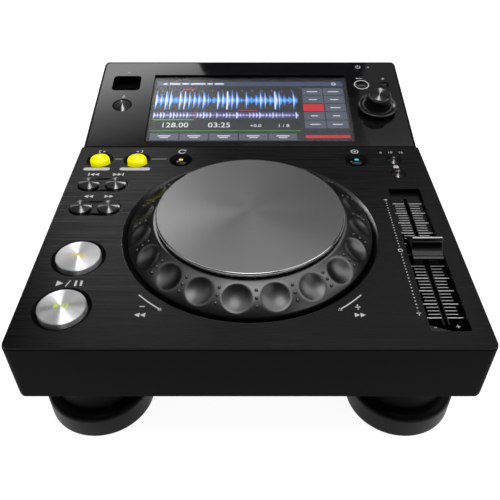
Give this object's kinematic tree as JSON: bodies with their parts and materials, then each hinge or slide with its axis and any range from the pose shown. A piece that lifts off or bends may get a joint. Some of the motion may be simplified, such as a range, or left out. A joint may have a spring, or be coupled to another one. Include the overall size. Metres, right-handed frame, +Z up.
{
  "type": "dj media player",
  "caption": "Compact tabletop deck with a turning jog wheel, tempo fader, push keys and selector, a tilted touch display behind them and round rubber feet.",
  "frame": {"origin": "on the surface that the feet stand on, under the middle of the part's box", "axes": "+X to the player's right, +Y to its rear, +Z up"},
  "size_m": [0.231, 0.301, 0.0986],
  "materials": {
    "case_plastic": "fine matte moulding, near black",
    "deck_hairline": "charcoal hairline-brushed sheet",
    "fascia_gloss": "glossy black",
    "screen_glass": "clear dark glass",
    "display": "lit display module",
    "bright_steel": "bare sheet steel",
    "base_steel": "dark painted sheet",
    "foot_plastic": "satin black moulding",
    "foot_rubber": "satin black rubber",
    "jog_metal": "dark satin metal",
    "platter_metal": "spun grey metal",
    "rim_chrome": "polished bevel",
    "brass": "plain brass",
    "key_silver": "spun silver",
    "key_yellow": "lit yellow",
    "key_gloss": "glossy black",
    "trim_black": "satin black",
    "board": "green solder mask",
    "switch_plastic": "black moulding",
    "sensor_film": "amber film and foam",
    "lamp_clear": "clear light pipe"
  },
  "bodies": {
    "root": {"deck_case": "case_plastic", "deck_sheet": "deck_hairline", "display_case": "case_plastic", "display_fascia": "fascia_gloss", "screen_glass": "screen_glass", "display_module": "display", "display_bracket": "bright_steel", "base_plate": "base_steel", "socket_plate": "base_steel", "foot_columns": "foot_plastic", "foot_pads": "foot_rubber", "foot_bolts": "bright_steel", "jog_bevel": "trim_black", "jog_tray": "case_plastic", "jog_bush": "brass", "encoder_sensor": "switch_plastic", "fader_plate": "trim_black", "fader_track": "bright_steel", "selector_encoder": "bright_steel", "transport_rings": "trim_black", "key_dishes": "trim_black", "pair_dishes": "trim_black", "key_boards": "board", "panel_boards": "board", "key_switches": "switch_plastic", "main_board": "board", "power_board": "board", "mains_inlet": "switch_plastic", "network_socket": "bright_steel", "data_socket": "bright_steel", "audio_jacks": "brass", "memory_socket": "bright_steel", "standby_lamp": "lamp_clear", "case_screws": "bright_steel"},
    "jog": {"jog_spindle": "bright_steel", "jog_ring": "jog_metal", "encoder_disc": "bright_steel", "touch_sensor": "sensor_film"},
    "platter": {"jog_platter": "platter_metal", "platter_rim": "rim_chrome"},
    "fader": {"fader_carriage": "bright_steel", "fader_cap": "key_gloss"},
    "selector_stem": {"selector_shaft": "bright_steel"},
    "selector": {"selector_knob": "key_gloss"},
    "power": {"power_button": "key_gloss"},
    "cue": {"cue_key": "key_silver"},
    "play": {"play_key": "key_silver"},
    "loop_in": {"loop_in_key": "key_yellow"},
    "loop_out": {"loop_out_key": "key_yellow"},
    "reloop": {"reloop_key": "key_gloss"},
    "track_back": {"track_back_key": "key_gloss"},
    "track_next": {"track_next_key": "key_gloss"},
    "search_back": {"search_back_key": "key_gloss"},
    "search_next": {"search_next_key": "key_gloss"},
    "jog_mode": {"jog_mode_key": "key_gloss"},
    "tempo_range": {"tempo_range_key": "key_gloss"},
    "key_lock": {"key_lock_key": "key_gloss"},
    "back": {"back_key": "key_gloss"},
    "tag": {"tag_key": "key_gloss"},
    "memory_stop": {"memory_stop_key": "key_gloss"}
  },
  "joints": [
    {"name": "jog_spin", "type": "hinge", "parent": "root", "child": "jog", "pos_m": [0, -0.062, 0.078], "axis": [0, 0, 1], "continuous": true},
    {"name": "platter_press", "type": "slide", "parent": "jog", "child": "platter", "axis": [0, 0, -1], "range_m": [0, 0.0004], "stiffness_N_per_m": 4000, "springref_m": -0.0006},
    {"name": "fader_slide", "type": "slide", "parent": "root", "child": "fader", "axis": [0, 1, 0], "range_m": [-0.046, 0.046]},
    {"name": "selector_push", "type": "slide", "parent": "root", "child": "selector_stem", "axis": [0, 0.178, -0.984], "range_m": [0, 0.0006], "stiffness_N_per_m": 500, "springref_m": -0.001},
    {"name": "selector_spin", "type": "hinge", "parent": "selector_stem", "child": "selector", "pos_m": [0.0924, 0.06883, 0.08548], "axis": [0, -0.178, 0.984], "continuous": true},
    {"name": "power_press", "type": "slide", "parent": "root", "child": "power", "axis": [0, -1, 0], "range_m": [0, 0.0015], "stiffness_N_per_m": 500, "springref_m": -0.001},
    {"name": "cue_press", "type": "slide", "parent": "root", "child": "cue", "axis": [0, 0, -1], "range_m": [0, 0.0008], "stiffness_N_per_m": 500, "springref_m": -0.001},
    {"name": "play_press", "type": "slide", "parent": "root", "child": "play", "axis": [0, 0, -1], "range_m": [0, 0.0008], "stiffness_N_per_m": 500, "springref_m": -0.001},
    {"name": "loop_in_press", "type": "slide", "parent": "root", "child": "loop_in", "axis": [0, 0, -1], "range_m": [0, 0.0008], "stiffness_N_per_m": 500, "springref_m": -0.001},
    {"name": "loop_out_press", "type": "slide", "parent": "root", "child": "loop_out", "axis": [0, 0, -1], "range_m": [0, 0.0008], "stiffness_N_per_m": 500, "springref_m": -0.001},
    {"name": "reloop_press", "type": "slide", "parent": "root", "child": "reloop", "axis": [0, 0, -1], "range_m": [0, 0.0008], "stiffness_N_per_m": 500, "springref_m": -0.001},
    {"name": "track_back_press", "type": "slide", "parent": "root", "child": "track_back", "axis": [0, 0, -1], "range_m": [0, 0.0008], "stiffness_N_per_m": 500, "springref_m": -0.001},
    {"name": "track_next_press", "type": "slide", "parent": "root", "child": "track_next", "axis": [0, 0, -1], "range_m": [0, 0.0008], "stiffness_N_per_m": 500, "springref_m": -0.001},
    {"name": "search_back_press", "type": "slide", "parent": "root", "child": "search_back", "axis": [0, 0, -1], "range_m": [0, 0.0008], "stiffness_N_per_m": 500, "springref_m": -0.001},
    {"name": "search_next_press", "type": "slide", "parent": "root", "child": "search_next", "axis": [0, 0, -1], "range_m": [0, 0.0008], "stiffness_N_per_m": 500, "springref_m": -0.001},
    {"name": "jog_mode_press", "type": "slide", "parent": "root", "child": "jog_mode", "axis": [0, 0, -1], "range_m": [0, 0.0008], "stiffness_N_per_m": 500, "springref_m": -0.001},
    {"name": "tempo_range_press", "type": "slide", "parent": "root", "child": "tempo_range", "axis": [0, 0, -1], "range_m": [0, 0.0008], "stiffness_N_per_m": 500, "springref_m": -0.001},
    {"name": "key_lock_press", "type": "slide", "parent": "root", "child": "key_lock", "axis": [0, 0, -1], "range_m": [0, 0.0008], "stiffness_N_per_m": 500, "springref_m": -0.001},
    {"name": "back_press", "type": "slide", "parent": "root", "child": "back", "axis": [0, 0.178, -0.984], "range_m": [0, 0.0008], "stiffness_N_per_m": 500, "springref_m": -0.001},
    {"name": "tag_press", "type": "slide", "parent": "root", "child": "tag", "axis": [0, 0.178, -0.984], "range_m": [0, 0.0008], "stiffness_N_per_m": 500, "springref_m": -0.001},
    {"name": "memory_stop_press", "type": "slide", "parent": "root", "child": "memory_stop", "axis": [0, 0.178, -0.984], "range_m": [0, 0.0008], "stiffness_N_per_m": 500, "springref_m": -0.001}
  ]
}
